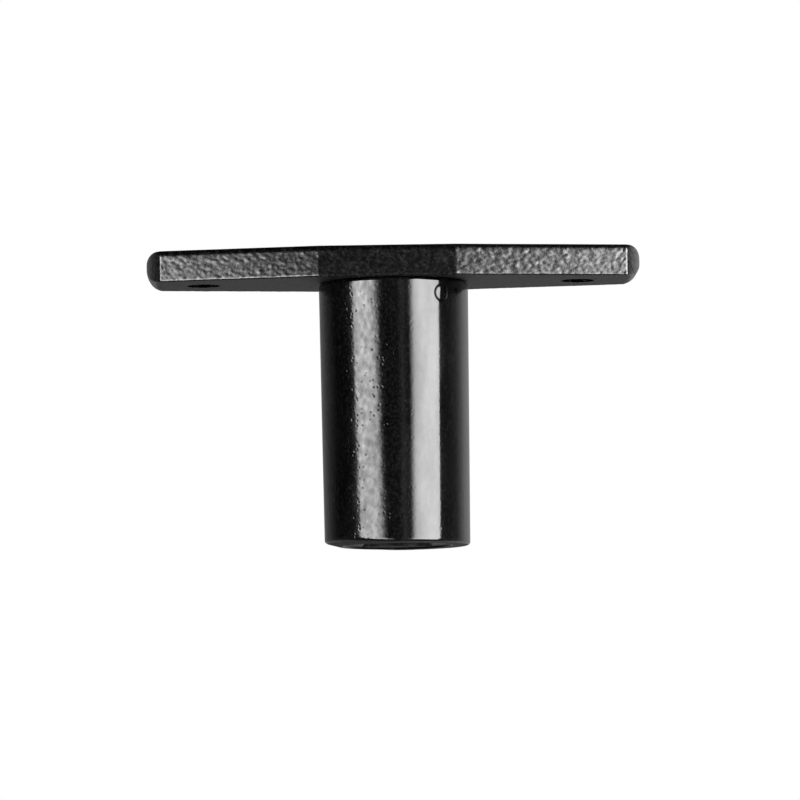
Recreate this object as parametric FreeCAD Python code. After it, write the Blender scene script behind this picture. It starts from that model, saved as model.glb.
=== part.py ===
import FreeCAD, Part
import math
import os

from FreeCAD import Vector

# Radiator bleed key. A moulded cross-bar handle sits on a round moulded shank, and a
# blackened steel insert in the shank's open end holds the square socket.
#
# Units are millimetres. The origin is the centre of the shank's open end face. +Z runs
# up the shank to the handle, and the handle's long axis lies along X.

# --- Driving dimensions ------------------------------------------------------------

# Handle plate
HANDLE_LENGTH = 40.0
HANDLE_THICKNESS = 2.55
HANDLE_MID_WIDTH = 12.2  # across the two short flats beside the shank
HANDLE_END_WIDTH = 6.9  # where the tapering sides would meet a square end
HANDLE_FLAT_LENGTH = 11.0  # length of each short flat
HANDLE_FLAT_CENTER = -0.55  # the flats sit a little to one side of the shank's axis
TOP_EDGE_ROUND = 0.5
BOTTOM_EDGE_ROUND = 0.35
NOSE_TOP_ROUND = 0.9  # rounding of the two ends' upper edges, seen from the side
NOSE_BOTTOM_ROUND = 1.2
END_RADIUS = 6.2  # bulge of each end face, seen from above
END_FLAT = 1.8  # width of the flat middle of each end face
CORNER_BLEND = 0.4  # softening of the corners between the sides and the end faces
NOSE_LENGTH = 1.7  # stretch at each end that holds all of that rounding

# Shank
SHANK_LENGTH = 21.4
SHANK_ROOT_DIAMETER = 12.15  # at the handle
SHANK_TIP_DIAMETER = 11.8  # at the open end
TIP_EDGE_ROUND = 0.25
ROOT_CHAMFER = 0.25  # leaves a shadow groove where the shank meets the handle
CORE_DIAMETER = 6.0  # moulding core above the insert

# Keyed spigot that locks the shank into the handle
SPIGOT_DIAMETER = 9.0
SPIGOT_FLATS = 8.0
SPIGOT_HEIGHT = 1.5
SPIGOT_GAP = 0.05  # weld clearance around and above the spigot

# Steel insert with the square socket
VALVE_SQUARE = 5.0  # the bleed valve's square that the key turns
SOCKET_CLEARANCE = 0.15
SOCKET_LEAD_IN = 0.3
INSERT_DIAMETER = 8.8
INSERT_LENGTH = 10.5
INSERT_RECESS = 0.15  # depth of the insert's face below the shank's end face
INSERT_BORE_GAP = 0.01
KNURL_TEETH = 28
KNURL_DEPTH = 0.2
KNURL_BANDS = 2
KNURL_GROOVE = 1.3  # plain grooves at both ends of each knurled band

# Moulding marks
EJECTOR_DIAMETER = 2.7
EJECTOR_DEPTH = 0.25
EJECTOR_SPACING = 30.4  # between the two marks on the handle's underside
EJECTOR_CENTER = -0.2  # their middle, a little to one side like the short flats
GATE_DIAMETER = 1.4
GATE_GROOVE_WIDTH = 0.2
GATE_DEPTH = 0.1
GATE_ANGLE = 40.0  # degrees round the shank, from -Y towards +X
GATE_DROP = 1.3  # below the handle's underside

# --- Sizes that follow from them ---------------------------------------------------

HANDLE_BOTTOM = SHANK_LENGTH
SOCKET_SIZE = VALVE_SQUARE + SOCKET_CLEARANCE
INSERT_TOP = INSERT_RECESS + INSERT_LENGTH
NOSE_START = HANDLE_LENGTH / 2 - NOSE_LENGTH
END_ARC_CENTER = HANDLE_LENGTH / 2 - math.sqrt(END_RADIUS ** 2 - (END_FLAT / 2) ** 2)
NOSE_STATIONS = 20  # sections that shape each rounded end
MARGIN = 1.0  # how far a cutting tool stands past the face that it cuts

Z_AXIS = Vector(0, 0, 1)


# --- Helpers -----------------------------------------------------------------------

def revolve_about_z(points):
    """A solid of revolution from a closed outline of (radius, height) points.

    A third value on a point makes the stretch that leads to it an arc: it is the
    (radius, height) of a point midway along that arc.
    """
    edges = []
    previous = points[-1]
    for point in points:
        start = Vector(previous[0], 0, previous[1])
        end = Vector(point[0], 0, point[1])
        if len(point) == 3:
            middle = Vector(point[2][0], 0, point[2][1])
            edges.append(Part.Arc(start, middle, end).toShape())
        else:
            edges.append(Part.makeLine(start, end))
        previous = point
    face = Part.Face(Part.Wire(edges))
    return face.revolve(Vector(0, 0, 0), Z_AXIS, 360)


def circle_midpoint(center, radius, degrees):
    """The (radius, height) point of a circle at an angle from the radial direction."""
    angle = math.radians(degrees)
    return (center[0] + radius * math.cos(angle), center[1] + radius * math.sin(angle))


def keyed_disc(diameter, across_flats, bottom, height):
    """A round disc with two flats that face +Y and -Y."""
    disc = Part.makeCylinder(diameter / 2, height, Vector(0, 0, bottom), Z_AXIS)
    corner = Vector(-diameter / 2, -across_flats / 2, bottom)
    return disc.common(Part.makeBox(diameter, across_flats, height, corner))


# --- Handle plate ------------------------------------------------------------------

def flat_end(side):
    """Where the short flats stop and the taper starts, on one side of the shank."""
    return HANDLE_FLAT_CENTER + side * HANDLE_FLAT_LENGTH / 2


def eased_minimum(first, second, blend):
    """The smaller of two values, eased where they are within blend of each other."""
    overlap = max(0.0, blend - abs(first - second)) / blend
    return min(first, second) - overlap ** 2 * blend / 4


def half_width_at(x):
    """Half the handle's width at x, seen from above."""
    side = 1 if x > 0 else -1
    taper_length = HANDLE_LENGTH / 2 - abs(flat_end(side))
    taper = (HANDLE_MID_WIDTH - HANDLE_END_WIDTH) / 2 / taper_length
    beyond_flat = max(0.0, abs(x) - abs(flat_end(side)))
    tapered = HANDLE_MID_WIDTH / 2 - taper * beyond_flat
    if abs(x) <= NOSE_START:
        return tapered
    end_face = math.sqrt(END_RADIUS ** 2 - (abs(x) - END_ARC_CENTER) ** 2)
    return eased_minimum(tapered, end_face, CORNER_BLEND)


def end_inset(x, radius):
    """How far an edge of the given rounding has drawn in at x, near the handle's end."""
    into_round = abs(x) - (HANDLE_LENGTH / 2 - radius)
    if into_round <= 0:
        return 0.0
    return radius - math.sqrt(max(0.0, radius ** 2 - into_round ** 2))


def handle_section(x):
    """The handle's cross-section at x: a rectangle with four rounded corners."""
    half_width = half_width_at(x)
    low = HANDLE_BOTTOM + end_inset(x, NOSE_BOTTOM_ROUND)
    high = HANDLE_BOTTOM + HANDLE_THICKNESS - end_inset(x, NOSE_TOP_ROUND)
    shrink = (high - low) / HANDLE_THICKNESS
    top = TOP_EDGE_ROUND * shrink
    bottom = BOTTOM_EDGE_ROUND * shrink
    corners = [  # side, height, rounding, and which way the centre lies up or down
        (1, low, bottom, 1),
        (1, high, top, -1),
        (-1, high, top, -1),
        (-1, low, bottom, 1),
    ]
    edges = []
    first = last = None
    for side, height, radius, inwards in corners:
        center = Vector(x, side * (half_width - radius), height + inwards * radius)
        on_side = center + Vector(0, side * radius, 0)
        on_face = center + Vector(0, 0, -inwards * radius)
        diagonal = Vector(0, side, -inwards).normalize() * radius
        leaves_face = (side > 0) == (inwards > 0)
        start, end = (on_face, on_side) if leaves_face else (on_side, on_face)
        if last is not None:
            edges.append(Part.makeLine(last, start))
        edges.append(Part.Arc(start, center + diagonal, end).toShape())
        first = first or start
        last = end
    edges.append(Part.makeLine(last, first))
    return Part.Wire(edges)


def handle_nose(side):
    """The rounded end of the handle on one side of the shank."""
    sections = []
    for station in range(NOSE_STATIONS):
        turn = math.pi / 2 * station / (NOSE_STATIONS - 1)
        sections.append(handle_section(side * (NOSE_START + NOSE_LENGTH * math.sin(turn))))
    return Part.makeLoft(sections, True, True)


def handle_bar():
    """The handle's outer shape: straight-sided stretches between two rounded ends."""
    stations = [-NOSE_START, flat_end(-1), flat_end(1), NOSE_START]
    bar = Part.makeLoft([handle_section(x) for x in stations], True, True)
    return bar.fuse([handle_nose(-1), handle_nose(1)])


def build_handle_plate():
    plate = handle_bar()
    pocket = keyed_disc(
        SPIGOT_DIAMETER + 2 * SPIGOT_GAP,
        SPIGOT_FLATS + 2 * SPIGOT_GAP,
        HANDLE_BOTTOM - MARGIN,
        MARGIN + SPIGOT_HEIGHT + SPIGOT_GAP,
    )
    plate = plate.cut(pocket)
    for side in (-1, 1):
        center = EJECTOR_CENTER + side * EJECTOR_SPACING / 2
        foot = Vector(center, 0, HANDLE_BOTTOM - MARGIN)
        pin = Part.makeCylinder(EJECTOR_DIAMETER / 2, MARGIN + EJECTOR_DEPTH, foot, Z_AXIS)
        plate = plate.cut(pin)
    return plate


# --- Shank -------------------------------------------------------------------------

def shank_body():
    """The tapered outside of the shank, with its rounded tip and chamfered root."""
    root = SHANK_ROOT_DIAMETER / 2
    tip = SHANK_TIP_DIAMETER / 2
    round_center = (tip - TIP_EDGE_ROUND, TIP_EDGE_ROUND)
    return revolve_about_z([
        (0, SHANK_LENGTH),
        (0, 0),
        (tip - TIP_EDGE_ROUND, 0),
        (tip, TIP_EDGE_ROUND, circle_midpoint(round_center, TIP_EDGE_ROUND, -45)),
        (root, SHANK_LENGTH - ROOT_CHAMFER),
        (root - ROOT_CHAMFER, SHANK_LENGTH),
    ])


def gate_mark():
    """The round groove left in the shank's side by the moulding gate."""
    height = SHANK_LENGTH - GATE_DROP
    surface = SHANK_TIP_DIAMETER / 2
    surface += (SHANK_ROOT_DIAMETER - SHANK_TIP_DIAMETER) / 2 * height / SHANK_LENGTH
    angle = math.radians(GATE_ANGLE)
    outwards = Vector(math.sin(angle), -math.cos(angle), 0)
    floor = outwards * (surface - GATE_DEPTH) + Vector(0, 0, height)
    outer = Part.makeCylinder(GATE_DIAMETER / 2, MARGIN, floor, outwards)
    inner_radius = GATE_DIAMETER / 2 - GATE_GROOVE_WIDTH
    return outer.cut(Part.makeCylinder(inner_radius, MARGIN, floor, outwards))


def build_shank():
    spigot = keyed_disc(SPIGOT_DIAMETER, SPIGOT_FLATS, SHANK_LENGTH - MARGIN, MARGIN + SPIGOT_HEIGHT)
    shank = shank_body().fuse(spigot)
    bore_radius = INSERT_DIAMETER / 2 + INSERT_BORE_GAP
    bore = Part.makeCylinder(bore_radius, MARGIN + INSERT_TOP, Vector(0, 0, -MARGIN), Z_AXIS)
    core_length = SHANK_LENGTH + SPIGOT_HEIGHT + MARGIN
    core = Part.makeCylinder(CORE_DIAMETER / 2, core_length, Vector(0, 0, 0), Z_AXIS)
    return shank.cut(bore.fuse(core)).cut(gate_mark()).removeSplitter()


# --- Socket insert -----------------------------------------------------------------

def square_prism(across, bottom, height):
    corner = Vector(-across / 2, -across / 2, bottom)
    return Part.makeBox(across, across, height, corner)


def square_wire(across, height):
    half = across / 2
    corners = [(-half, -half), (half, -half), (half, half), (-half, half), (-half, -half)]
    return Part.makePolygon([Vector(x, y, height) for x, y in corners])


def knurled_band(bottom, height):
    """A ring of straight V teeth around the insert."""
    tip = INSERT_DIAMETER / 2
    root = tip - KNURL_DEPTH
    points = []
    for step in range(2 * KNURL_TEETH + 1):
        radius = tip if step % 2 == 0 else root
        angle = math.pi * step / KNURL_TEETH
        points.append(Vector(radius * math.cos(angle), radius * math.sin(angle), bottom))
    return Part.Face(Part.makePolygon(points)).extrude(Vector(0, 0, height))


def build_socket_insert():
    groove_radius = INSERT_DIAMETER / 2 - KNURL_DEPTH
    insert = Part.makeCylinder(groove_radius, INSERT_LENGTH, Vector(0, 0, INSERT_RECESS), Z_AXIS)
    collar_height = KNURL_GROOVE / 2
    collar = Part.makeCylinder(
        INSERT_DIAMETER / 2, collar_height, Vector(0, 0, INSERT_RECESS), Z_AXIS
    )
    insert = insert.fuse(collar)
    pitch = (INSERT_LENGTH - collar_height) / KNURL_BANDS
    for band in range(KNURL_BANDS):
        bottom = INSERT_RECESS + collar_height + band * pitch + KNURL_GROOVE
        insert = insert.fuse(knurled_band(bottom, pitch - KNURL_GROOVE))
    insert = insert.cut(square_prism(SOCKET_SIZE, 0, INSERT_TOP + MARGIN))
    mouth = square_wire(SOCKET_SIZE + 2 * SOCKET_LEAD_IN, INSERT_RECESS)
    throat = square_wire(SOCKET_SIZE, INSERT_RECESS + SOCKET_LEAD_IN)
    return insert.cut(Part.makeLoft([mouth, throat], True, True)).removeSplitter()


# --- Output ------------------------------------------------------------------------

PIECES = {
    "handle_plate": build_handle_plate,
    "shank": build_shank,
    "socket_insert": build_socket_insert,
}

os.makedirs("parts", exist_ok=True)
for name, build in PIECES.items():
    shape = build()
    box = shape.BoundBox
    print(name, "solids", len(shape.Solids), "valid", shape.isValid(), "closed", shape.isClosed())
    print("  x %.2f..%.2f  y %.2f..%.2f  z %.2f..%.2f" % (
        box.XMin, box.XMax, box.YMin, box.YMax, box.ZMin, box.ZMax))
    shape.exportStep("parts/" + name + ".step")
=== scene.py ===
import math

import bmesh
import bpy
import numpy as np
from mathutils import Euler, Matrix, Vector, noise


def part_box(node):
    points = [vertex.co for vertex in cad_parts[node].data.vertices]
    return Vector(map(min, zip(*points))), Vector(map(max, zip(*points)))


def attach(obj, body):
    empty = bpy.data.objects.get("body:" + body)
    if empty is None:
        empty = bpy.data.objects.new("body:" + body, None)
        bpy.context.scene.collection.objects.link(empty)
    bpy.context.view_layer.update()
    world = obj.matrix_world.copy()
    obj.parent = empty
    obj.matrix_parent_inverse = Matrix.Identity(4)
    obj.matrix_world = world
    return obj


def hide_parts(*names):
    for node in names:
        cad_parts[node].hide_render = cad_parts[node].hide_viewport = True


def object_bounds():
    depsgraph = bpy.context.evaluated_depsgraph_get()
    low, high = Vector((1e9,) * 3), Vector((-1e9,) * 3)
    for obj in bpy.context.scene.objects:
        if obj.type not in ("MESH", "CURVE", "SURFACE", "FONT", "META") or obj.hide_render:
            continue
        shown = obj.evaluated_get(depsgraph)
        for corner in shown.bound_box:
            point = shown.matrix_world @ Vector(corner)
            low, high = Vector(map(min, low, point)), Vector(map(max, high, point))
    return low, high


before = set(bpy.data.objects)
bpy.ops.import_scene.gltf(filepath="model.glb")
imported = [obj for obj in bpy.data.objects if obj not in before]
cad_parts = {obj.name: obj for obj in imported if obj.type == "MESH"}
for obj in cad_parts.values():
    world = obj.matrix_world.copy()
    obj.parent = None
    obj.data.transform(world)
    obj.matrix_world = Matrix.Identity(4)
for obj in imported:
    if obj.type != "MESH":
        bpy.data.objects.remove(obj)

# A radiator bleed key: a textured black cross-bar handle on a glossy round shank, with a
# blackened steel socket insert in the shank's open end. Sizes are in millimetres until a
# mesh is made, when they become metres.

CAD_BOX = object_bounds()
MM = 0.001


def node_box(node):
    """A CAD node's lowest and highest corners, in millimetres."""
    low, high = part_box(node)
    return np.array(low) / MM, np.array(high) / MM


# --- Sizes worked out from the CAD parts in model.glb -------------------------------

HANDLE_LOW, HANDLE_HIGH = node_box("handle_plate")
SHANK_HIGH = node_box("shank")[1]
INSERT_LOW, INSERT_HIGH = node_box("socket_insert")

HALF_LENGTH = HANDLE_HIGH[0]
HALF_MID_WIDTH = HANDLE_HIGH[1]
HANDLE_BOTTOM = HANDLE_LOW[2]
HANDLE_TOP = HANDLE_HIGH[2]
THICKNESS = HANDLE_TOP - HANDLE_BOTTOM
SPIGOT_TOP = SHANK_HIGH[2]
ROOT_RADIUS = SHANK_HIGH[1]
INSERT_RADIUS = INSERT_HIGH[0]
INSERT_FACE = INSERT_LOW[2]
INSERT_TOP = INSERT_HIGH[2]

# --- Sizes of details inside those boxes --------------------------------------------

# Handle
HALF_END_WIDTH = 3.45  # where the tapering sides would meet a square end
HALF_FLAT = 5.5  # half the length of each short flat beside the shank
FLAT_CENTER = -0.55
TOP_ROUND = 0.5
BOTTOM_ROUND = 0.15
NOSE_TOP_ROUND = 0.9  # rounding of the ends' upper edges, seen from the side
NOSE_BOTTOM_ROUND = 1.2
NOSE_LENGTH = 1.7  # stretch at each end that holds all of the end's rounding
END_RADIUS = 6.2  # bulge of each end face, seen from above
HALF_END_FLAT = 0.9
CORNER_BLEND = 0.12

# Shank
TIP_RADIUS = 5.9
TIP_ROUND = 0.25
TIP_WEAR = 0.28  # how much of the open end's rim is worn away on the left
ROOT_CHAMFER = 0.25
CORE_RADIUS = 3.0
BORE_RADIUS = INSERT_RADIUS + 0.01
BORE_CHAMFER = 0.06
SPIGOT_RADIUS = 4.5
SPIGOT_HALF_FLATS = 4.0
SPIGOT_GAP = 0.05
SPIGOT_CHAMFER = 0.08

# Ejector marks under the handle
EJECTOR_RADIUS = 1.35
EJECTOR_DEPTH = 0.25
EJECTOR_SPACING = 30.4
EJECTOR_CENTER = -0.2

# Gate mark on the shank
GATE_RADIUS = 0.7
GATE_GROOVE = 0.2
GATE_DEPTH = 0.018
GATE_PIP = 0.02
GATE_ANGLE = math.radians(38.5)
GATE_HEIGHT = HANDLE_BOTTOM - 1.3

# Socket
SOCKET_HALF = 2.575
SOCKET_LEAD_IN = 0.3

# --- Relief of the surfaces ---------------------------------------------------------

TEXTURE_STRETCH = np.array([0.65, 0.65, 1])  # the mould texture is longer than it is high
LARGE_CRATER = 0.40
SMALL_CRATER = 0.30
LUMP = 0.32
CRATER_DEPTH = 0.008
LUMP_HEIGHT = 0.010
SWELL = 3.0  # the slow unevenness of the handle's faces
SWELL_HEIGHT = 0.006
HANDLE_SINK = 0.006  # keeps the handle's relief inside its outline
TEXTURE_FADE = 0.4  # stretch at each end over which the relief dies away

RIPPLE = 2.6  # the shank's flow ripple
RIPPLE_HEIGHT = 0.006
FINE_RIPPLE = 0.9
FINE_RIPPLE_HEIGHT = 0.0022
SHANK_SINK = 0.004

# --- Fineness of the meshes ---------------------------------------------------------

HANDLE_PITCH = 0.1  # between the handle's cross-sections
UPRIGHT_STEPS = 20  # along the straight stretches of a cross-section
TOP_STEPS = 96
BOTTOM_STEPS = 40
SHANK_PITCH = 0.12  # between the shank's rings
SHANK_TURN = 0.0225  # between the corners of a ring, in radians
GATE_PITCH = 0.045  # the same two round the gate mark
GATE_TURN = 0.0075
GATE_REACH = 0.8  # how far round the gate mark the mesh is finer, along the shank
GATE_SPREAD = 0.13  # and round it, in radians
BORE_STEPS = 24
CIRCLE_STEPS = 96
WELD_SIZE = 0.002
TINY = 1e-6  # keeps a division away from zero


# --- Mesh helpers -------------------------------------------------------------------

def new_mesh_object(name, points, faces):
    """A mesh object from points in millimetres."""
    mesh = bpy.data.meshes.new(name)
    mesh.from_pydata((np.asarray(points) * MM).tolist(), [], faces)
    mesh.update()
    piece = bpy.data.objects.new(name, mesh)
    bpy.context.scene.collection.objects.link(piece)
    return piece


def grid_faces(rows, columns, close_rows=False):
    """Quads of a grid whose columns wrap round; its rows wrap too if close_rows is set."""
    row = np.arange(rows if close_rows else rows - 1)
    column = np.arange(columns)
    a = (row[:, None] * columns + column[None, :]).ravel()
    b = (row[:, None] * columns + (column[None, :] + 1) % columns).ravel()
    over = (row + 1) % rows
    c = (over[:, None] * columns + (column[None, :] + 1) % columns).ravel()
    d = (over[:, None] * columns + column[None, :]).ravel()
    return np.stack([a, b, c, d], 1).tolist()


def vertex_values(piece, name):
    """One row of three numbers per vertex."""
    values = np.zeros(len(piece.data.vertices) * 3, np.float32)
    piece.data.vertices.foreach_get(name, values)
    return values.reshape(-1, 3).astype(float)


def points_of(piece):
    """The vertices' places in millimetres."""
    return vertex_values(piece, "co") / MM


def move_points(piece, points):
    """Puts the vertices at new places in millimetres."""
    piece.data.vertices.foreach_set("co", (points * MM).astype(np.float32).ravel())
    piece.data.update()


def push_out(piece, heights):
    """Moves each vertex along its normal by a height in millimetres."""
    move_points(piece, points_of(piece) + vertex_values(piece, "normal") * heights[:, None])


def weld_slivers(mesh, size):
    """Welds away the slivers, smaller than a size in millimetres, that a cut leaves.

    A sliver can fold into two faces on the same corners, and both of those go as well.
    """
    surface = bmesh.new()
    surface.from_mesh(mesh)
    bmesh.ops.remove_doubles(surface, verts=surface.verts, dist=size * MM)
    bmesh.ops.dissolve_degenerate(surface, dist=size * MM, edges=surface.edges)
    bmesh.ops.triangulate(surface, faces=surface.faces)
    twins = {}
    for face in surface.faces:
        twins.setdefault(frozenset(face.verts), []).append(face)
    folded = [face for group in twins.values() if len(group) > 1 for face in group]
    bmesh.ops.delete(surface, geom=folded, context="FACES")
    surface.to_mesh(mesh)
    surface.free()


def smooth_with_sharp_edges(piece, degrees):
    """Smooth shading, broken where two faces meet at more than the given angle."""
    mesh = piece.data
    mesh.polygons.foreach_set("use_smooth", np.ones(len(mesh.polygons), bool))
    mesh.set_sharp_from_angle(angle=math.radians(degrees))


def smoothstep(low, high, value):
    """0 at low and 1 at high, with a smooth start and stop; low may be the greater."""
    t = np.clip((value - low) / (high - low), 0, 1)
    return t * t * (3 - 2 * t)


# Noise is sampled along turned axes, so that its grid never lines up with a flat face.
TURNED_AXES = np.array(Euler((0.6, 0.4, 0.9)).to_matrix())


def noise_at(points, size, seed):
    """Smooth noise, about -1 to 1, with features of the given size in millimetres."""
    offset = np.array([seed * 7.31, seed * 3.17, seed * 5.77])
    return np.array([noise.noise(Vector(p)) for p in points @ TURNED_AXES / size + offset])


def cells_at(points, size, seed):
    """Distance to the nearest and second-nearest random cell centre, in cell sizes."""
    offset = np.array([seed * 2.93, seed * 6.61, seed * 4.39])
    found = [noise.voronoi(Vector(p))[0][:2] for p in points @ TURNED_AXES / size + offset]
    return np.array(found)


# --- Handle plate -------------------------------------------------------------------

FLAT_ENDS = (FLAT_CENTER - HALF_FLAT, FLAT_CENTER + HALF_FLAT)
NOSE_START = HALF_LENGTH - NOSE_LENGTH
END_ARC_CENTER = HALF_LENGTH - math.sqrt(END_RADIUS ** 2 - HALF_END_FLAT ** 2)


def end_inset(x, radius):
    """How far an edge of the given rounding has drawn in at x, near the handle's end."""
    into_round = np.maximum(0, np.abs(x) - (HALF_LENGTH - radius))
    return radius - np.sqrt(np.maximum(0, radius ** 2 - into_round ** 2))


def half_width_at(x):
    """Half the handle's width at x: flat, tapering, then rounded off to a bulging end face."""
    flat_end = abs(FLAT_ENDS[1] if x > 0 else FLAT_ENDS[0])
    taper = (HALF_MID_WIDTH - HALF_END_WIDTH) / (HALF_LENGTH - flat_end)
    tapered = HALF_MID_WIDTH - taper * max(0, abs(x) - flat_end)
    if abs(x) <= NOSE_START:
        return tapered
    # On the nose the narrower of the two outlines counts, blended where they cross.
    end_face = math.sqrt(END_RADIUS ** 2 - (abs(x) - END_ARC_CENTER) ** 2)
    overlap = max(0, CORNER_BLEND - abs(tapered - end_face)) / CORNER_BLEND
    return min(tapered, end_face) - overlap ** 2 * CORNER_BLEND / 4


def handle_stations(pitch):
    """Places along X: even along the bar, and close together round each end."""
    turns = np.linspace(0, math.pi / 2, int(4 * NOSE_LENGTH / pitch) + 1)
    nose = NOSE_START + NOSE_LENGTH * np.sin(turns)
    stations = [-nose[::-1]]
    bends = (-NOSE_START,) + FLAT_ENDS + (NOSE_START,)
    for start, stop in zip(bends[:-1], bends[1:]):
        stations.append(np.linspace(start, stop, int((stop - start) / pitch) + 1)[1:])
    stations.append(nose[1:])
    return np.concatenate(stations)


def handle_loop(x):
    """One cross-section of the handle, starting under its +Y side."""
    half = half_width_at(x)
    low = HANDLE_BOTTOM + end_inset(x, NOSE_BOTTOM_ROUND)
    high = HANDLE_TOP - end_inset(x, NOSE_TOP_ROUND)
    shrink = (high - low) / THICKNESS
    top, bottom = TOP_ROUND * shrink, BOTTOM_ROUND * shrink
    top_turn = np.linspace(0, math.pi / 2, 7)
    bottom_turn = np.linspace(-math.pi / 2, 0, 5)

    def arc(side, height, radius, turns):
        return np.stack([side * (half - radius + radius * np.cos(turns)),
                         height + radius * np.sin(turns)], 1)

    corners = [arc(1, low + bottom, bottom, bottom_turn),
               arc(1, high - top, top, top_turn),
               arc(-1, high - top, top, top_turn[::-1]),
               arc(-1, low + bottom, bottom, bottom_turn[::-1])]
    parts = []
    for index, steps in enumerate((UPRIGHT_STEPS, TOP_STEPS, UPRIGHT_STEPS, BOTTOM_STEPS)):
        corner, following = corners[index], corners[(index + 1) % 4]
        share = np.linspace(0, 1, steps + 1)[1:-1, None]
        parts.append(corner)
        parts.append(corner[-1] * (1 - share) + following[0] * share)
    loop = np.concatenate(parts)
    return np.column_stack([np.full(len(loop), x), loop])


def coarse_texture(points):
    """The coarse spark-eroded mould texture: overlapping shallow craters with sharp rims."""
    stretched = points * TEXTURE_STRETCH
    large = cells_at(stretched, LARGE_CRATER, 1)
    small = cells_at(stretched, SMALL_CRATER, 2)
    rims = smoothstep(0.0, 0.5, large[:, 1] - large[:, 0])
    craters = 0.5 - smoothstep(0.1, 0.75, small[:, 0])
    lumps = noise_at(stretched, LUMP, 3)
    return LUMP_HEIGHT * lumps - CRATER_DEPTH * rims + CRATER_DEPTH * craters


def prism(outline, bottom, top):
    """Points and faces of an upright prism on an outline of (x, y) points."""
    count = len(outline)
    points = [np.column_stack([outline, np.full(count, z)]) for z in (bottom, top)]
    faces = grid_faces(2, count)
    faces.append(list(range(count))[::-1])
    faces.append([count + k for k in range(count)])
    return np.concatenate(points), faces


def spigot_outline(radius, half_flats):
    """A circle with two flats that face +Y and -Y, as (x, y) points."""
    angle = np.linspace(0, 2 * math.pi, CIRCLE_STEPS, endpoint=False)
    flat = half_flats / np.maximum(np.abs(np.cos(angle)), TINY)
    reach = np.minimum(radius, flat)
    return np.column_stack([reach * np.sin(angle), -reach * np.cos(angle)])


def cut_underside(handle):
    """Cuts the spigot's keyed pocket and the two ejector marks into the underside."""
    foot = HANDLE_BOTTOM - 1  # clear below the handle
    cuts = [prism(spigot_outline(SPIGOT_RADIUS + SPIGOT_GAP, SPIGOT_HALF_FLATS + SPIGOT_GAP),
                  foot, SPIGOT_TOP + SPIGOT_GAP)]
    for side in (-1, 1):
        center = EJECTOR_CENTER + side * EJECTOR_SPACING / 2
        mark = spigot_outline(EJECTOR_RADIUS, EJECTOR_RADIUS) + [center, 0]
        cuts.append(prism(mark, foot, HANDLE_BOTTOM + EJECTOR_DEPTH))
    points, faces, first = [], [], 0
    for cut_points, cut_faces in cuts:
        points.append(cut_points)
        faces += [[first + k for k in face] for face in cut_faces]
        first += len(cut_points)
    cutter = new_mesh_object("cutter", np.concatenate(points), faces)
    cut = handle.modifiers.new("cut", "BOOLEAN")
    cut.object = cutter
    cut.operation = "DIFFERENCE"
    cut.solver = "EXACT"
    evaluated = handle.evaluated_get(bpy.context.evaluated_depsgraph_get())
    mesh = bpy.data.meshes.new_from_object(evaluated)
    handle.modifiers.clear()
    weld_slivers(mesh, WELD_SIZE)
    handle.data = mesh
    mesh.name = handle.name
    bpy.data.objects.remove(cutter)


def build_handle():
    """The handle: a row of cross-sections with flat end caps, then texture, then cuts."""
    loops = [handle_loop(x) for x in handle_stations(HANDLE_PITCH)]
    rows, columns = len(loops), len(loops[0])
    faces = [face[::-1] for face in grid_faces(rows, columns)]
    faces.append(list(range(columns)))
    faces.append([(rows - 1) * columns + k for k in range(columns)][::-1])
    piece = new_mesh_object("handle_moulding", np.concatenate(loops), faces)
    points = points_of(piece)
    from_middle = np.abs(points[:, 0])
    facing_up = vertex_values(piece, "normal")[:, 2]
    textured = 1 - 0.95 * smoothstep(-0.35, -0.8, facing_up)  # the underside is almost smooth
    textured *= 1 - 0.3 * smoothstep(NOSE_START + 0.6, HALF_LENGTH, from_middle)
    height = coarse_texture(points) * textured
    height += SWELL_HEIGHT * noise_at(points, SWELL, 4)
    fade = smoothstep(HALF_LENGTH, HALF_LENGTH - TEXTURE_FADE, from_middle)
    push_out(piece, (height - HANDLE_SINK) * fade)
    cut_underside(piece)
    return piece


# --- Shank --------------------------------------------------------------------------

def shank_radius(height):
    """The shank's tapered outside."""
    return TIP_RADIUS + (ROOT_RADIUS - TIP_RADIUS) * height / HANDLE_BOTTOM


def crowded(start, stop, step, center, reach, fine):
    """Values from start to stop, about one step apart, and finer within reach of the centre."""
    values = [start]
    while values[-1] < stop:
        away = abs(values[-1] - center) / reach
        size = fine + (step - fine) * float(smoothstep(0.8, 2.0, away))
        values.append(values[-1] + size)
    values = np.array(values)
    return start + (values - start) * (stop - start) / (values[-1] - start)


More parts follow.
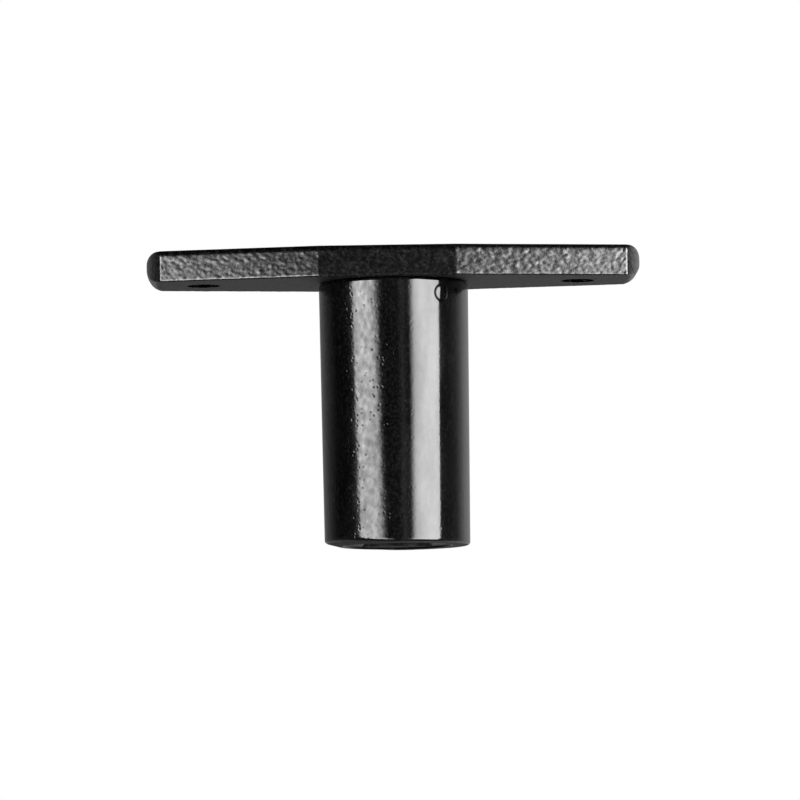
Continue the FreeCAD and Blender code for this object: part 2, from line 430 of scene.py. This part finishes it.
def shank_profile(angle):
    """The shank's rings, each as a radius and a height for every angle round it.

    They run from the top of the core, over the spigot, down the outside, and back up the
    bore and the core.
    """
    def ring(radius, height):
        return np.broadcast_to(radius, angle.shape), np.full(angle.shape, float(height))

    def arc(center_radius, center_height, radius, start, stop, count):
        for turn in np.radians(np.linspace(start, stop, count)):
            rings.append(ring(center_radius + radius * math.cos(turn),
                              center_height + radius * math.sin(turn)))

    flats = SPIGOT_HALF_FLATS / np.maximum(np.abs(np.cos(angle)), TINY)
    spigot = np.minimum(SPIGOT_RADIUS, flats)
    body_top = HANDLE_BOTTOM - ROOT_CHAMFER
    rings = [ring(CORE_RADIUS, SPIGOT_TOP), ring(spigot - SPIGOT_CHAMFER, SPIGOT_TOP),
             ring(spigot, SPIGOT_TOP - SPIGOT_CHAMFER), ring(spigot, HANDLE_BOTTOM),
             ring(ROOT_RADIUS - ROOT_CHAMFER, HANDLE_BOTTOM),
             ring(ROOT_RADIUS - 0.5 * ROOT_CHAMFER, HANDLE_BOTTOM - 0.5 * ROOT_CHAMFER)]
    outside = crowded(TIP_ROUND, body_top, SHANK_PITCH, GATE_HEIGHT, GATE_REACH, GATE_PITCH)
    for height in outside[::-1]:
        rings.append(ring(shank_radius(height), height))
    arc(TIP_RADIUS - TIP_ROUND, TIP_ROUND, TIP_ROUND, -9, -90, 9)
    rings += [ring(BORE_RADIUS + 0.3, 0), ring(BORE_RADIUS + BORE_CHAMFER, 0),
              ring(BORE_RADIUS, BORE_CHAMFER)]
    for height in np.linspace(0.5, INSERT_TOP, BORE_STEPS):
        rings.append(ring(BORE_RADIUS, height))
    rings.append(ring(CORE_RADIUS, INSERT_TOP))
    for height in np.linspace(INSERT_TOP + 0.5, SPIGOT_TOP - 0.5, BORE_STEPS):
        rings.append(ring(CORE_RADIUS, height))
    return rings


def direction_round(angle):
    """A level unit vector at an angle round the shank from the front."""
    return Vector((math.sin(angle), -math.cos(angle), 0))


def gate_relief(points):
    """The round groove and low pip that the moulding gate leaves on the shank."""
    outwards = np.array(direction_round(GATE_ANGLE))
    center = outwards * shank_radius(GATE_HEIGHT) + np.array([0, 0, GATE_HEIGHT])
    offset = points - center
    offset -= (offset @ outwards)[:, None] * outwards
    away = np.linalg.norm(offset, axis=1)
    on_front = (points @ outwards) > 0
    inner = smoothstep(GATE_RADIUS - GATE_GROOVE, GATE_RADIUS - 0.6 * GATE_GROOVE, away)
    outer = smoothstep(GATE_RADIUS, GATE_RADIUS - 0.4 * GATE_GROOVE, away)
    pip = GATE_PIP * np.maximum(0, 1 - (away / (GATE_RADIUS - GATE_GROOVE)) ** 2)
    return np.where(on_front, pip - GATE_DEPTH * inner * outer, 0)


def shank_skin(points):
    """Flow ripple on the glossy outside of the shank, stronger on its worn left side."""
    stretched = points * np.array([1, 1, 0.3])
    worn_side = 0.2 + 0.8 * smoothstep(1.5, -1.5, points[:, 0])
    ripple = RIPPLE_HEIGHT * noise_at(stretched, RIPPLE, 5)
    ripple += FINE_RIPPLE_HEIGHT * noise_at(points, FINE_RIPPLE, 6) * worn_side
    return ripple


def lift_worn_rim(piece):
    """The open end's outer edge is worn away a little on the left."""
    points = points_of(piece)
    radius = np.hypot(points[:, 0], points[:, 1])
    to_left = smoothstep(0.1, -0.95, points[:, 0] / TIP_RADIUS)
    near_edge = smoothstep(BORE_RADIUS + 0.2, TIP_RADIUS, radius) * smoothstep(2.0, 0, points[:, 2])
    points[:, 2] += TIP_WEAR * to_left * near_edge
    move_points(piece, points)


def build_shank():
    """The shank: one closed surface of rings, then ripple, gate mark and worn rim."""
    angle = crowded(0, 2 * math.pi, SHANK_TURN, GATE_ANGLE, GATE_SPREAD, GATE_TURN)[:-1]
    rings = shank_profile(angle)
    points = [np.column_stack([r * np.sin(angle), -r * np.cos(angle), z]) for r, z in rings]
    faces = [face[::-1] for face in grid_faces(len(rings), len(angle), close_rows=True)]
    piece = new_mesh_object("shank_moulding", np.concatenate(points), faces)
    points = points_of(piece)
    radius = np.hypot(points[:, 0], points[:, 1])
    outside = (radius > TIP_RADIUS - TIP_ROUND) & (points[:, 2] < HANDLE_BOTTOM - ROOT_CHAMFER)
    height = np.zeros(len(points))
    height[outside] = shank_skin(points[outside]) - SHANK_SINK
    height += np.where(outside, gate_relief(points), 0)
    push_out(piece, height)
    lift_worn_rim(piece)
    return piece


# --- Materials ----------------------------------------------------------------------

class Nodes:
    """Short calls for building a material's node tree."""

    def __init__(self, owner):
        if isinstance(owner, str):
            owner = bpy.data.materials.new(owner)
            self.material = owner
        owner.use_nodes = True
        self.tree = owner.node_tree
        self.tree.nodes.clear()
        is_world = isinstance(owner, bpy.types.World)
        self.output = self.add("ShaderNodeOutputWorld" if is_world else "ShaderNodeOutputMaterial")
        self.where = self.add("ShaderNodeTexCoord")
        self.place = self.add("ShaderNodeVectorMath", operation="SCALE")
        self.tree.links.new(self.where.outputs["Object"], self.place.inputs[0])
        self.place.inputs["Scale"].default_value = 1 / MM

    def add(self, kind, **settings):
        """A new node with the given settings."""
        node = self.tree.nodes.new(kind)
        for key, value in settings.items():
            setattr(node, key, value)
        return node

    def feed(self, socket, value):
        """Links another node's output to a socket, or sets the socket to a fixed value."""
        if isinstance(value, bpy.types.NodeSocket):
            self.tree.links.new(value, socket)
        else:
            socket.default_value = value

    def stretched(self, x, y, z):
        """The place on the piece, scaled along each axis, so that a pattern stretches."""
        node = self.add("ShaderNodeVectorMath", operation="MULTIPLY")
        self.feed(node.inputs[0], self.place.outputs[0])
        node.inputs[1].default_value = (x, y, z)
        return node.outputs[0]

    def noise(self, size, detail, vector=None):
        """Noise from 0 to 1 with features of the given size in millimetres."""
        node = self.add("ShaderNodeTexNoise")
        self.feed(node.inputs["Vector"], vector or self.place.outputs[0])
        node.inputs["Scale"].default_value = 1 / size
        node.inputs["Detail"].default_value = detail
        return node.outputs["Fac"]

    def random_cells(self, size):
        """Distance from the nearest random point, and a chance from 0 to 1 for each point."""
        node = self.add("ShaderNodeTexVoronoi", feature="F1")
        self.feed(node.inputs["Vector"], self.place.outputs[0])
        node.inputs["Scale"].default_value = 1 / size
        split = self.add("ShaderNodeSeparateColor")
        self.feed(split.inputs[0], node.outputs["Color"])
        return node.outputs["Distance"], split.outputs[0]

    def remap(self, value, low, high, to_low, to_high, smooth=True):
        """Maps low to high onto a new range, and holds the ends beyond it."""
        node = self.add("ShaderNodeMapRange")
        node.interpolation_type = "SMOOTHSTEP" if smooth else "LINEAR"
        for name, number in (("From Min", low), ("From Max", high),
                             ("To Min", to_low), ("To Max", to_high)):
            node.inputs[name].default_value = number
        self.feed(node.inputs["Value"], value)
        return node.outputs["Result"]

    def math(self, operation, a, b=0.0):
        node = self.add("ShaderNodeMath", operation=operation)
        self.feed(node.inputs[0], a)
        self.feed(node.inputs[1], b)
        return node.outputs[0]

    def grey(self, value):
        """A neutral colour from one number."""
        node = self.add("ShaderNodeCombineColor")
        for socket in node.inputs:
            self.feed(socket, value)
        return node.outputs[0]

    def bump(self, height, depth, strength):
        """A bumped normal; the depth is in millimetres."""
        node = self.add("ShaderNodeBump")
        self.feed(node.inputs["Height"], height)
        node.inputs["Distance"].default_value = depth * MM
        node.inputs["Strength"].default_value = strength
        return node.outputs["Normal"]

    def split_place(self):
        """The X, Y and Z of a place on the piece, in millimetres."""
        node = self.add("ShaderNodeSeparateXYZ")
        self.feed(node.inputs[0], self.place.outputs[0])
        return node.outputs

    def away_from(self, point):
        """Distance from a point, in millimetres."""
        node = self.add("ShaderNodeVectorMath", operation="DISTANCE")
        self.feed(node.inputs[0], self.place.outputs[0])
        node.inputs[1].default_value = point
        return node.outputs["Value"]

    def swing(self, value, share, ratio):
        """A factor round 1 that grows with a noise value: its range is scaled by share."""
        away = self.math("MULTIPLY", self.math("SUBTRACT", value, 0.5), share)
        return self.math("POWER", ratio, away)

    def facing(self, axis):
        """The surface's own direction along an axis, from -1 to 1."""
        geometry = self.add("ShaderNodeNewGeometry")
        split = self.add("ShaderNodeSeparateXYZ")
        self.feed(split.inputs[0], geometry.outputs["Normal"])
        return split.outputs[axis]

    def pointiness(self):
        """Above 0.5 on edges that stand out, and below it in hollows."""
        return self.add("ShaderNodeNewGeometry").outputs["Pointiness"]

    def mix_shader(self, share, first, second):
        node = self.add("ShaderNodeMixShader")
        for socket, value in zip(node.inputs, (share, first, second)):
            self.feed(socket, value)
        return node.outputs[0]

    def principled(self, **inputs):
        """The surface's shader; an underscore in an input's name stands for a space."""
        shader = self.add("ShaderNodeBsdfPrincipled")
        for name, value in inputs.items():
            self.feed(shader.inputs[name.replace("_", " ")], value)
        self.tree.links.new(shader.outputs[0], self.output.inputs["Surface"])
        return shader


PLASTIC_IOR = 1.5
SMOOTH_UNDERSIDE = (-0.98, -0.90)  # how far down a face looks before it counts as underside


def ejector_shadow(m, side, textured):
    """Painted shade that darkens one ejector mark's recess by dimming its reflection, thinner at two
    gaps across it.
    """
    place = m.split_place()
    mark_top = HANDLE_BOTTOM + EJECTOR_DEPTH
    under = m.math("MULTIPLY", m.remap(place["Z"], mark_top + 0.1, mark_top, 0, 1), textured)
    center = EJECTOR_CENTER + side * EJECTOR_SPACING / 2
    away = m.away_from((center, 0, HANDLE_BOTTOM))
    inside = m.remap(away, EJECTOR_RADIUS + 0.08, EJECTOR_RADIUS + 0.03, 0, 1)
    across = m.math("ABSOLUTE", m.math("SUBTRACT", place["X"], center))
    from_gap = m.math("ABSOLUTE", m.math("SUBTRACT", across, 0.48 * EJECTOR_RADIUS))
    # The painted shade is a little thinner at two gaps across the mark.
    shade_thinning = m.remap(from_gap, 0.10 * EJECTOR_RADIUS, 0.2 * EJECTOR_RADIUS, 0.9, 1)
    return m.math("MULTIPLY", m.math("MULTIPLY", inside, under), shade_thinning)


def textured_plastic():
    """Black glass-filled plastic out of a coarse spark-eroded mould."""
    m = Nodes("textured_black_plastic")
    down = m.remap(m.facing("Z"), *SMOOTH_UNDERSIDE, 1, 0)
    textured = m.math("SUBTRACT", 1.0, down)
    worn = m.remap(m.pointiness(), 0.52, 0.60, 0, 1)
    colour = m.remap(m.noise(5.0, 3), 0.3, 0.7, 0.0005, 0.0009)
    flecks = m.math("MULTIPLY", m.remap(m.noise(0.30, 1), 0.48, 0.75, 0, 1), textured)
    colour = m.math("ADD", colour, m.math("MULTIPLY", worn, 0.003))
    colour = m.math("ADD", colour, m.math("MULTIPLY", flecks, 0.006))
    # Painted light: faces looking down get a lighter colour in place of the light they would catch from
    # below.
    colour = m.math("ADD", colour, m.math("MULTIPLY", down, 0.005))
    grain = m.noise(0.2, 2)
    rough = m.remap(grain, 0.3, 0.7, 0.19, 0.25)
    rough = m.math("ADD", rough, m.math("MULTIPLY", down, 0.32))
    shine = m.math("MULTIPLY", m.swing(m.noise(0.28, 1), textured, 8.5), 0.67)
    # Painted shade: each ejector mark's recess is darkened by dimming its reflection.
    for side in (-1, 1):
        shadow = ejector_shadow(m, side, textured)
        shine = m.math("MULTIPLY", shine, m.math("SUBTRACT", 1.0, shadow))
    shader = m.principled(Base_Color=m.grey(colour), Roughness=rough, IOR=PLASTIC_IOR,
                          Specular_IOR_Level=shine)
    m.feed(shader.inputs["Normal"], m.bump(grain, 0.010, 0.5))
    return m.material


def gate_groove_shade(m):
    """Painted shade in the gate mark's groove, as a factor on the reflection: 1 on the shank's skin,
    and almost 0 along the middle of the groove.
    """
    outwards = direction_round(GATE_ANGLE)
    gate = outwards * float(shank_radius(GATE_HEIGHT)) + Vector((0, 0, GATE_HEIGHT))
    from_ring = m.math("ABSOLUTE", m.math("SUBTRACT", m.away_from(gate), GATE_RADIUS - GATE_GROOVE / 2))
    return m.remap(from_ring, GATE_GROOVE * 0.25, GATE_GROOVE * 0.75, 0.1, 1)


def gloss_plastic():
    """The shank's glossy black, hazy and speckled, with small pits on its worn left side."""
    m = Nodes("gloss_black_plastic")
    down = m.remap(m.facing("Z"), *SMOOTH_UNDERSIDE, 1, 0)
    worn_side = m.remap(m.split_place()["X"], 1.5, -1.0, 0.12, 1)
    haze = m.noise(1.6, 4, m.stretched(1, 1, 0.25))
    dust = m.remap(m.noise(0.2, 1), 0.42, 0.72, 0, 1)
    colour = m.remap(haze, 0.3, 0.7, 0.0004, 0.0010)
    colour = m.math("ADD", colour, m.math("MULTIPLY", dust, 0.004))
    # Painted light: faces looking down, such as the open end, get a lighter colour in place of the
    # light they would catch from below.
    colour = m.math("ADD", colour, m.math("MULTIPLY", down, 0.004))
    rough = m.remap(haze, 0.35, 0.7, 0.06, 0.11)
    rough = m.math("ADD", rough, m.math("MULTIPLY", worn_side, 0.05))
    rough = m.math("ADD", rough, m.math("MULTIPLY", down, 0.38))
    distance, chance = m.random_cells(0.34)
    chosen = m.remap(chance, 0.5, 0.56, 0, 1)
    pit = m.math("MULTIPLY", m.remap(distance, 0.18, 0.42, 1, 0), chosen)
    patchy = m.remap(m.noise(2.6, 2), 0.40, 0.55, 0.15, 1)
    pit = m.math("MULTIPLY", pit, m.math("MULTIPLY", patchy, worn_side))
    speckle = m.noise(0.42, 2, m.stretched(1, 1, 0.6))
    shine = m.math("MULTIPLY", m.swing(speckle, worn_side, 6.0), m.swing(haze, 1.0, 2.0))
    shine = m.math("MULTIPLY", shine, m.remap(pit, 0, 1, 0.5, 0.2))
    # Painted shade dims the reflection along the gate mark's groove; faces looking down also reflect
    # less.
    dimmed = m.math("MULTIPLY", gate_groove_shade(m), m.remap(down, 0, 1, 1, 0.7))
    shine = m.math("MULTIPLY", shine, dimmed)
    grain_share = m.math("ADD", m.math("MULTIPLY", worn_side, 0.8), 0.35)
    grain = m.math("MULTIPLY", m.noise(0.3, 2), grain_share)
    height = m.math("SUBTRACT", grain, m.math("MULTIPLY", pit, 1.6))
    shader = m.principled(Base_Color=m.grey(colour), Roughness=rough, IOR=PLASTIC_IOR,
                          Specular_IOR_Level=shine)
    m.feed(shader.inputs["Normal"], m.bump(height, 0.008, 0.7))
    return m.material


TURNING_PITCH = 0.16  # between the turning marks on the insert's face


def blackened_steel():
    """Blackened steel: turning marks on the face, rubbed bright round the socket's mouth."""
    m = Nodes("blackened_steel")
    place = m.split_place()
    mouth = SOCKET_HALF + SOCKET_LEAD_IN
    across = m.math("MAXIMUM", m.math("ABSOLUTE", place["X"]), m.math("ABSOLUTE", place["Y"]))
    from_axis = m.math("SQRT", m.math("ADD", m.math("POWER", place["X"], 2),
                                      m.math("POWER", place["Y"], 2)))
    near_face = m.remap(place["Z"], INSERT_FACE + 0.4, INSERT_FACE + 0.05, 0, 1)
    rubbed = m.remap(across, mouth + 0.35, mouth, 0, 1)
    patches = m.remap(m.noise(0.8, 4), 0.4, 0.62, 0, 1)
    bright = m.math("MULTIPLY", m.math("MULTIPLY", rubbed, near_face), patches)
    colour = m.math("ADD", m.remap(m.noise(1.2, 4), 0.3, 0.7, 0.010, 0.028),
                    m.math("MULTIPLY", bright, 0.05))
    rough = m.remap(m.noise(0.5, 3), 0.3, 0.7, 0.32, 0.5)
    shader = m.principled(Base_Color=m.grey(colour), Roughness=rough, Metallic=0.9)
    rings = m.math("SINE", m.math("MULTIPLY", from_axis, 2 * math.pi / TURNING_PITCH))
    broaching = m.noise(0.12, 2, m.stretched(1, 1, 0.1))
    marks = m.math("ADD", m.math("MULTIPLY", rings, m.math("MULTIPLY", near_face, 0.3)), broaching)
    m.feed(shader.inputs["Normal"], m.bump(marks, 0.008, 0.6))
    return m.material


def dress(piece, material):
    """Gives a piece one material."""
    piece.data.materials.clear()
    piece.data.materials.append(material)


# --- The key ------------------------------------------------------------------------

def place_piece(piece, material, sharp_angle, node):
    """Finishes a piece that stands for a CAD node."""
    dress(piece, material)
    smooth_with_sharp_edges(piece, sharp_angle)
    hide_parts(node)
    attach(piece, "root")


place_piece(build_handle(), textured_plastic(), 60, "handle_plate")
place_piece(build_shank(), gloss_plastic(), 50, "shank")

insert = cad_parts["socket_insert"]
dress(insert, blackened_steel())
smooth_with_sharp_edges(insert, 30)

# --- Floor, light and camera --------------------------------------------------------

CAMERA_AZIMUTH = -1.0
CAMERA_ELEVATION = -4.75
CAMERA_ROLL = 0.95
CAMERA_LENS = 278.0
SENSOR = 36.0
FRAME_TO_LENGTH = 1.623  # the picture's width beside the handle's length
CENTER_ACROSS = -0.006  # the key's centre from the picture's, as a share of its width
CENTER_UP = 0.0015

FLOOR_HOLE = 4.3
FLOOR_RINGS = [8, 12, 20, 40, 80, 160, 400, 1500, 6000]
FLOOR_DROP = 0.02  # below the shank's end
FLOOR_FADE = (20, 160)  # the floor turns from paper to plain white between these distances
FLOOR_SHINE = 0.12  # how much of the floor the key's glossy surfaces mirror

PANEL_CREST = 0.65  # where a panel is brightest, as a share of its width
PANEL_DROOP = 1.6
PANEL_FOOT = 0.0  # the panels are brighter below this height
PANEL_FOOT_GAIN = 1.25
KEY_MIDDLE = HANDLE_BOTTOM / 2

# The room's brightness round the key, by azimuth in degrees from the camera's own side.
# The front is dark, so that the two softboxes stand out as crisp stripes.
ROOM = [(-180, 0.32), (-140, 0.30), (-121, 0.17), (-104, 0.02), (-20, 0.05), (5, 0.07), (12, 0.50),
        (19, 0.13), (30, 0.05), (92, 0.12), (109, 0.26), (121, 0.64), (135, 0.98), (157, 0.68),
        (180, 0.36)]


def direction(azimuth, elevation):
    """A unit vector towards a place round the key; azimuth 0 is the front, -Y."""
    a, e = math.radians(azimuth), math.radians(elevation)
    return Vector((math.sin(a) * math.cos(e), -math.cos(a) * math.cos(e), math.sin(e)))


def build_floor():
    """A pale floor, seen from above only, with a hole hidden under the shank's end.

    The camera stands a little below the floor, so the floor's underside lets it look
    through, and the hole lets the shank's end face see the light below.
    """
    radii = [FLOOR_HOLE] + FLOOR_RINGS
    angle = np.linspace(0, 2 * math.pi, CIRCLE_STEPS, endpoint=False)
    points = []
    for radius in radii:
        points.append(np.column_stack([radius * np.cos(angle), radius * np.sin(angle),
                                       np.full(CIRCLE_STEPS, -FLOOR_DROP)]))
    floor = new_mesh_object("floor", np.concatenate(points), grid_faces(len(radii), CIRCLE_STEPS))
    floor.data.flip_normals()
    m = Nodes("pale_floor")
    geometry = m.add("ShaderNodeNewGeometry")
    paper = m.add("ShaderNodeBsdfDiffuse")
    mottle = m.remap(m.noise(60, 2), 0.3, 0.7, 0.78, 0.82)
    m.feed(paper.inputs["Color"], m.grey(mottle))
    glow = m.add("ShaderNodeEmission")
    far = m.remap(m.away_from((0, 0, 0)), *FLOOR_FADE, 0, 1)
    seen = m.add("ShaderNodeLightPath")
    m.feed(glow.inputs["Strength"], 1.0)
    fade = m.mix_shader(m.math("MULTIPLY", far, seen.outputs["Is Camera Ray"]),
                        paper.outputs[0], glow.outputs[0])
    clear = m.add("ShaderNodeBsdfTransparent").outputs[0]
    mirrored = m.math("MULTIPLY", seen.outputs["Is Glossy Ray"], 1 - FLOOR_SHINE)
    hidden = m.math("MAXIMUM", geometry.outputs["Backfacing"], mirrored)
    m.feed(m.output.inputs["Surface"], m.mix_shader(hidden, fade, clear))
    dress(floor, m.material)


def softbox(name, inner, outer, bottom, top, distance, brightness, soft_inner, lean):
    """A light panel that spans two angles round the key, measured from the camera's side.

    Its brightness rises over a share of its width at the edge nearer the camera, droops
    away from its crest, and is greater towards its foot. Its upright edges lean outwards
    by the given amount per unit of height.
    """
    middle = (inner + outer) / 2
    half_width = distance * math.tan(math.radians(abs(outer - inner) / 2)) * MM
    half_height = (top - bottom) / 2 * MM
    outwards = direction(CAMERA_AZIMUTH + middle, 0)
    across = Vector((0, 0, 1)).cross(outwards) * (1 if outer > inner else -1)
    up = Vector((0, 0, 1)) + across * lean
    mirrored_height = KEY_MIDDLE + distance * math.tan(math.radians(-CAMERA_ELEVATION))
    center = outwards * distance * MM + Vector((0, 0, mirrored_height * MM))
    center += up * ((top + bottom) / 2 - mirrored_height) * MM
    corners = [(-1, -1), (1, -1), (1, 1), (-1, 1)]
    points = [center + across * u * half_width + up * v * half_height for u, v in corners]
    mesh = bpy.data.meshes.new(name)
    mesh.from_pydata(points, [], [(0, 1, 2, 3)])
    shares = mesh.uv_layers.new(name="shares")
    for corner, (u, v) in zip(shares.data, corners):
        corner.uv = ((u + 1) / 2, (v + 1) / 2)
    panel = bpy.data.objects.new(name, mesh)
    bpy.context.scene.collection.objects.link(panel)
    panel.visible_camera = False
    m = Nodes(name)
    split = m.add("ShaderNodeSeparateXYZ")
    m.feed(split.inputs[0], m.add("ShaderNodeTexCoord").outputs["UV"])
    edge = m.remap(split.outputs["X"], 0, soft_inner, 0, 1)
    from_crest = m.math("SUBTRACT", split.outputs["X"], PANEL_CREST)
    droop = m.math("SUBTRACT", 1.0, m.math("MULTIPLY", m.math("POWER", from_crest, 2), PANEL_DROOP))
    foot_top = (PANEL_FOOT - bottom) / (top - bottom)
    foot = m.remap(split.outputs["Y"], 0.75 * foot_top, foot_top, PANEL_FOOT_GAIN, 1.0)
    light = m.add("ShaderNodeEmission")
    strength = m.math("MULTIPLY", m.math("MULTIPLY", edge, droop), foot)
    m.feed(light.inputs["Strength"], m.math("MULTIPLY", strength, brightness))
    m.feed(m.output.inputs["Surface"], light.outputs[0])
    dress(panel, m.material)


def build_world():
    """White to the camera; to the key, a dark room in front and pale walls behind."""
    world = bpy.data.worlds.new("studio")
    bpy.context.scene.world = world
    m = Nodes(world)

    def along(vector):
        node = m.add("ShaderNodeVectorMath", operation="DOT_PRODUCT")
        m.feed(node.inputs[0], m.where.outputs["Generated"])
        node.inputs[1].default_value = vector
        return node.outputs["Value"]

    right = along(direction(CAMERA_AZIMUTH + 90, 0))
    front = along(direction(CAMERA_AZIMUTH, 0))
    height = along((0, 0, 1))
    azimuth = m.math("ARCTAN2", right, front)
    turn = m.remap(azimuth, -math.pi, math.pi, 0, 1, smooth=False)
    ramp = m.add("ShaderNodeValToRGB")
    m.feed(ramp.inputs[0], turn)
    stops = ramp.color_ramp.elements
    while len(stops) < len(ROOM):
        stops.new(0.5)
    for stop, (angle, brightness) in zip(stops, ROOM):
        stop.position = (angle + 180) / 360
        stop.color = (brightness, brightness, brightness, 1)
    ceiling = m.remap(height, 0.15, 0.6, 1.0, 0.06)
    strength = m.math("MULTIPLY", ramp.outputs["Color"], ceiling)
    room = m.add("ShaderNodeBackground")
    m.feed(room.inputs["Strength"], strength)
    paper = m.add("ShaderNodeBackground")
    paper.inputs["Color"].default_value = (1, 1, 1, 1)
    seen = m.add("ShaderNodeLightPath").outputs["Is Camera Ray"]
    m.feed(m.output.inputs["Surface"], m.mix_shader(seen, room.outputs[0], paper.outputs[0]))


def build_camera():
    """Below the handle and almost square on, through a long lens, rolled a little."""
    low, high = CAD_BOX
    target = (low + high) / 2
    width = FRAME_TO_LENGTH * (high.x - low.x)
    distance = CAMERA_LENS / SENSOR * width
    back = direction(CAMERA_AZIMUTH, CAMERA_ELEVATION)
    right = Vector((0, 0, 1)).cross(back).normalized()
    up = back.cross(right)
    roll = Matrix.Rotation(math.radians(-CAMERA_ROLL), 3, back)
    right, up = roll @ right, roll @ up
    lens = bpy.data.cameras.new("camera")
    lens.lens = CAMERA_LENS
    lens.sensor_width = SENSOR
    lens.clip_start, lens.clip_end = distance * 0.05, distance * 40
    camera = bpy.data.objects.new("camera", lens)
    bpy.context.scene.collection.objects.link(camera)
    place = target + back * distance
    place -= right * CENTER_ACROSS * width + up * CENTER_UP * width
    axes = Matrix((right, up, back)).transposed().to_4x4()
    camera.matrix_world = Matrix.Translation(place) @ axes
    bpy.context.scene.camera = camera


build_floor()
build_world()
softbox("left_softbox", inner=-19, outer=-63, bottom=-70, top=62, distance=140,
        brightness=10.7, soft_inner=0.27, lean=0.6)
softbox("right_softbox", inner=21.4, outer=72.5, bottom=-80, top=185, distance=220,
        brightness=15.4, soft_inner=0.22, lean=0.25)
build_camera()
bpy.context.scene.view_settings.view_transform = "Standard"
